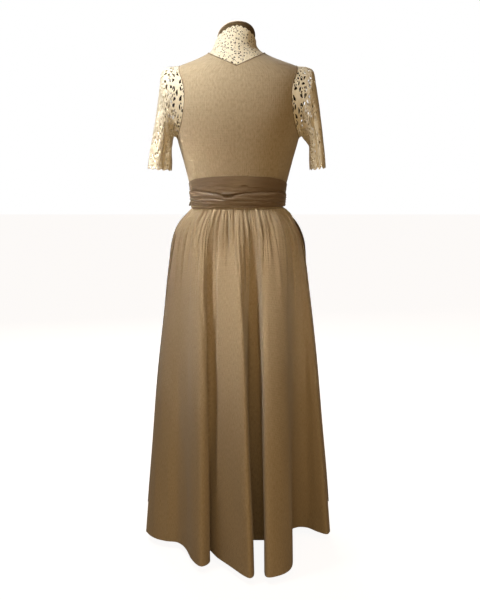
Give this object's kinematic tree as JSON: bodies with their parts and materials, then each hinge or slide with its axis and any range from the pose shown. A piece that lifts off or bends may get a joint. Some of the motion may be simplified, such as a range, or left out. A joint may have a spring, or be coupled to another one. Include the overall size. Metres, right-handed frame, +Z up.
{
  "type": "dirndl on limbless dress form",
  "caption": "Long dirndl with fitted V-back bodice, gathered skirt, wrapped apron ties and high-necked lace blouse, worn by a limbless dress form on a stand.",
  "frame": {"origin": "centre of the stand's foot, on the floor", "axes": "+Z up along the pole, the front of the dress faces -Y, the wearer's left is +X"},
  "size_m": [0.5298, 0.5938, 1.45],
  "materials": {
    "linen": "matte linen-look weave",
    "taffeta": "silky sheen",
    "lace": "cotton guipure lace",
    "piping": "rolled bias binding",
    "form_cover": "matte jersey cover",
    "cap": "dark stained, lacquered",
    "steel": "powder coated"
  },
  "bodies": {
    "root": {"blouse_back": "lace", "blouse_front": "lace", "collar_left": "lace", "collar_right": "lace", "sleeve_left_back": "lace", "sleeve_left_front": "lace", "sleeve_right_back": "lace", "sleeve_right_front": "lace", "bodice_back_left": "linen", "bodice_back_right": "linen", "bodice_front_left": "linen", "bodice_front_right": "linen", "skirt_back": "linen", "skirt_front": "linen", "apron_panel": "taffeta", "apron_band": "taffeta", "tie_under": "taffeta", "tie_over": "taffeta", "bow_knot": "taffeta", "bow_loop_left": "taffeta", "bow_loop_right": "taffeta", "bow_tail_left": "taffeta", "bow_tail_right": "taffeta", "neck_piping_left": "piping", "neck_piping_right": "piping", "armhole_piping_left": "piping", "armhole_piping_right": "piping", "form_torso": "form_cover", "form_neck_cap": "cap", "stand_pole": "steel", "stand_base": "steel"}
  },
  "joints": []
}
